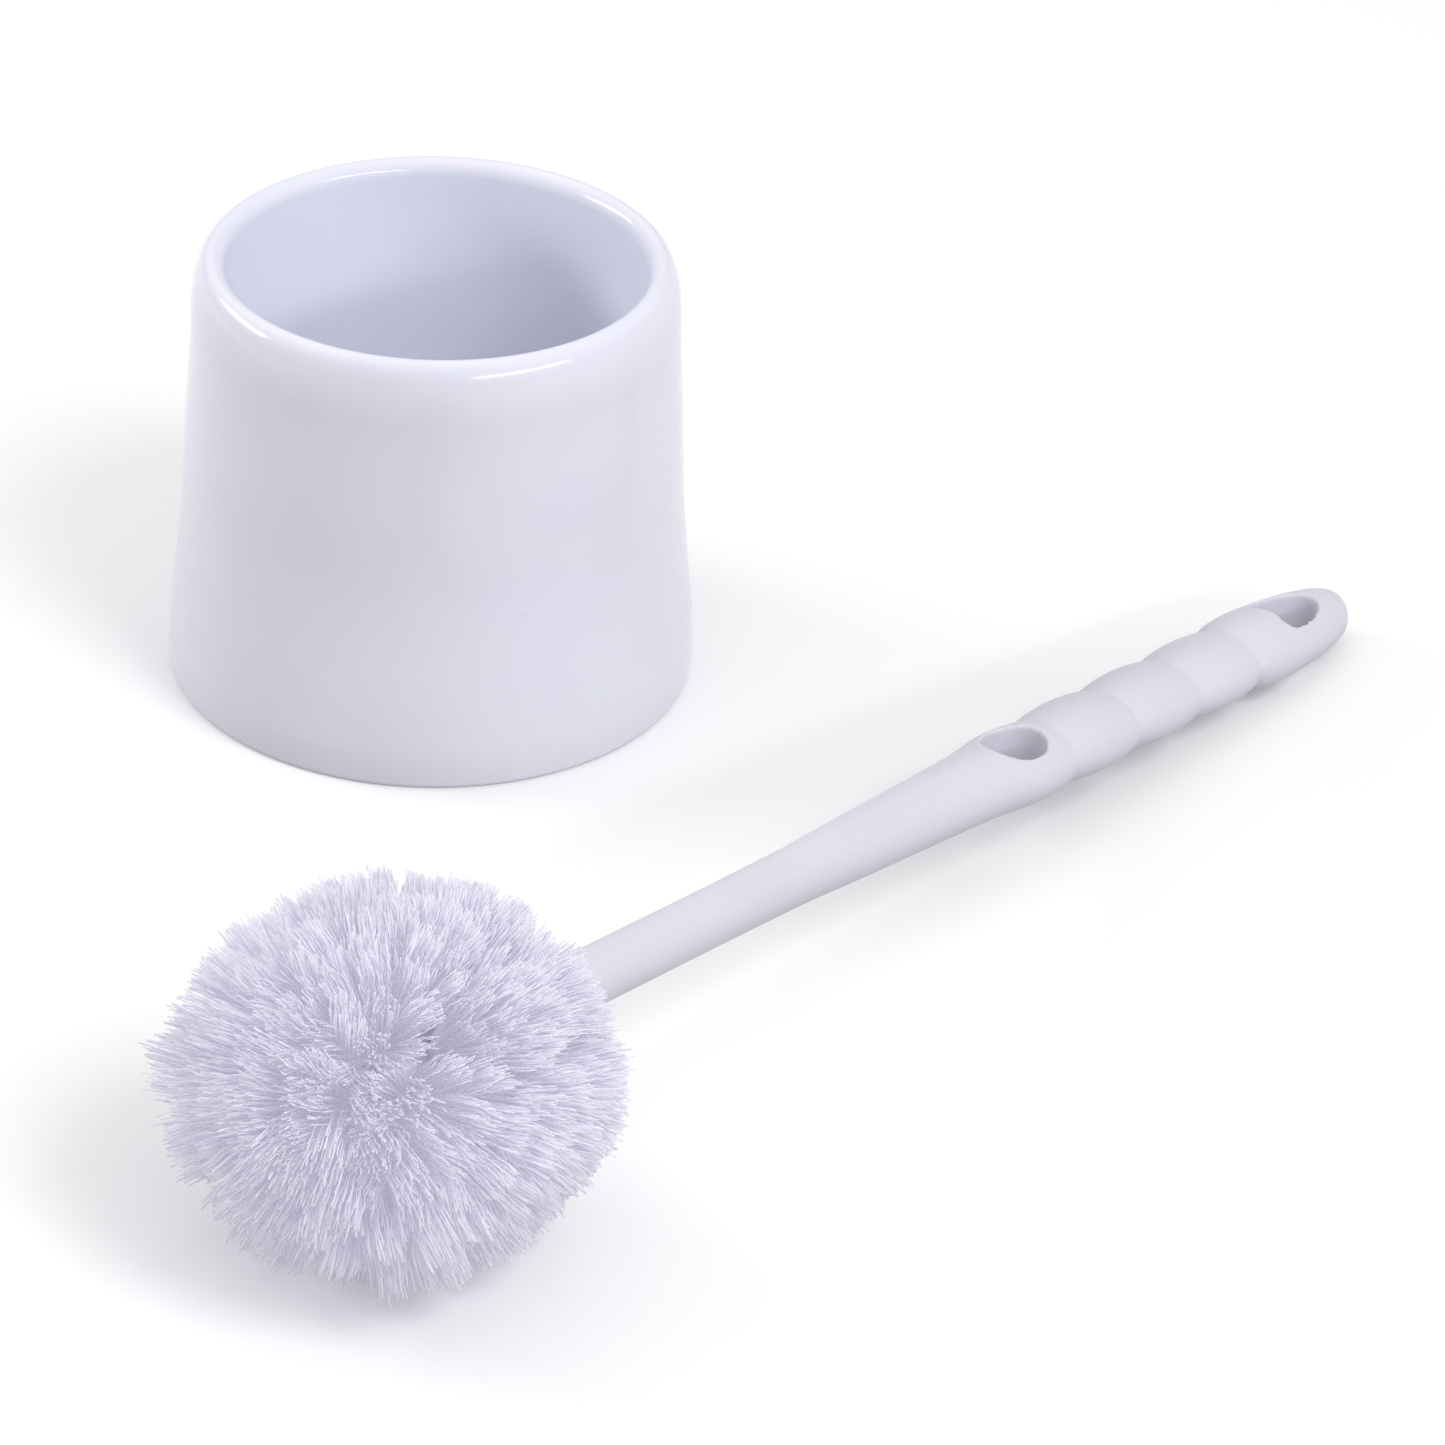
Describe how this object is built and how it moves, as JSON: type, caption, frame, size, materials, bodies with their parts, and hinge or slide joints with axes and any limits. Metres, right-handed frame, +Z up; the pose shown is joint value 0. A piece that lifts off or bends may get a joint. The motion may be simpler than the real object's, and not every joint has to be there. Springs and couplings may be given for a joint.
{
  "type": "toilet brush holder",
  "caption": "Round open plastic toilet brush holder with a rolled rim, and its brush: a ball of tufted bristles on a moulded handle with finger grips, a thumb hole and a hanging hole.",
  "frame": {"origin": "centre of the set's footprint, on the floor", "axes": "+Z up; +Y away from someone who looks at the set with the holder behind on the left and the brush head in front; +X to their right"},
  "size_m": [0.2587, 0.3143, 0.097],
  "materials": {
    "holder_plastic": "glossy injection-moulded white polypropylene",
    "handle_plastic": "satin injection-moulded white polypropylene",
    "bristle": "crimped white polypropylene filament, cut ends",
    "anchor_steel": "galvanised flat steel wire"
  },
  "bodies": {
    "holder": {"holder": "holder_plastic"},
    "brush": {"brush_handle": "handle_plastic", "tuft_front_1": "bristle", "tuft_front_2": "bristle", "tuft_front_3": "bristle", "tuft_front_4": "bristle", "tuft_front_5": "bristle", "tuft_mid_1": "bristle", "tuft_mid_2": "bristle", "tuft_mid_3": "bristle", "tuft_mid_4": "bristle", "tuft_mid_5": "bristle", "tuft_mid_6": "bristle", "tuft_mid_7": "bristle", "tuft_mid_8": "bristle", "tuft_rear_1": "bristle", "tuft_rear_2": "bristle", "tuft_rear_3": "bristle", "tuft_rear_4": "bristle", "tuft_rear_5": "bristle", "tuft_rear_6": "bristle", "tuft_rear_7": "bristle", "tuft_rear_8": "bristle", "tuft_tip_1": "bristle", "tuft_tip_2": "bristle", "tuft_tip_3": "bristle", "anchor_front_1": "anchor_steel", "anchor_front_2": "anchor_steel", "anchor_front_3": "anchor_steel", "anchor_front_4": "anchor_steel", "anchor_front_5": "anchor_steel", "anchor_mid_1": "anchor_steel", "anchor_mid_2": "anchor_steel", "anchor_mid_3": "anchor_steel", "anchor_mid_4": "anchor_steel", "anchor_mid_5": "anchor_steel", "anchor_mid_6": "anchor_steel", "anchor_mid_7": "anchor_steel", "anchor_mid_8": "anchor_steel", "anchor_rear_1": "anchor_steel", "anchor_rear_2": "anchor_steel", "anchor_rear_3": "anchor_steel", "anchor_rear_4": "anchor_steel", "anchor_rear_5": "anchor_steel", "anchor_rear_6": "anchor_steel", "anchor_rear_7": "anchor_steel", "anchor_rear_8": "anchor_steel", "anchor_tip_1": "anchor_steel", "anchor_tip_2": "anchor_steel", "anchor_tip_3": "anchor_steel"}
  },
  "joints": [
    {"name": "brush_lift", "type": "slide", "parent": "holder", "child": "brush", "axis": [0, 0, 1], "range_m": [0, 0.3]}
  ]
}
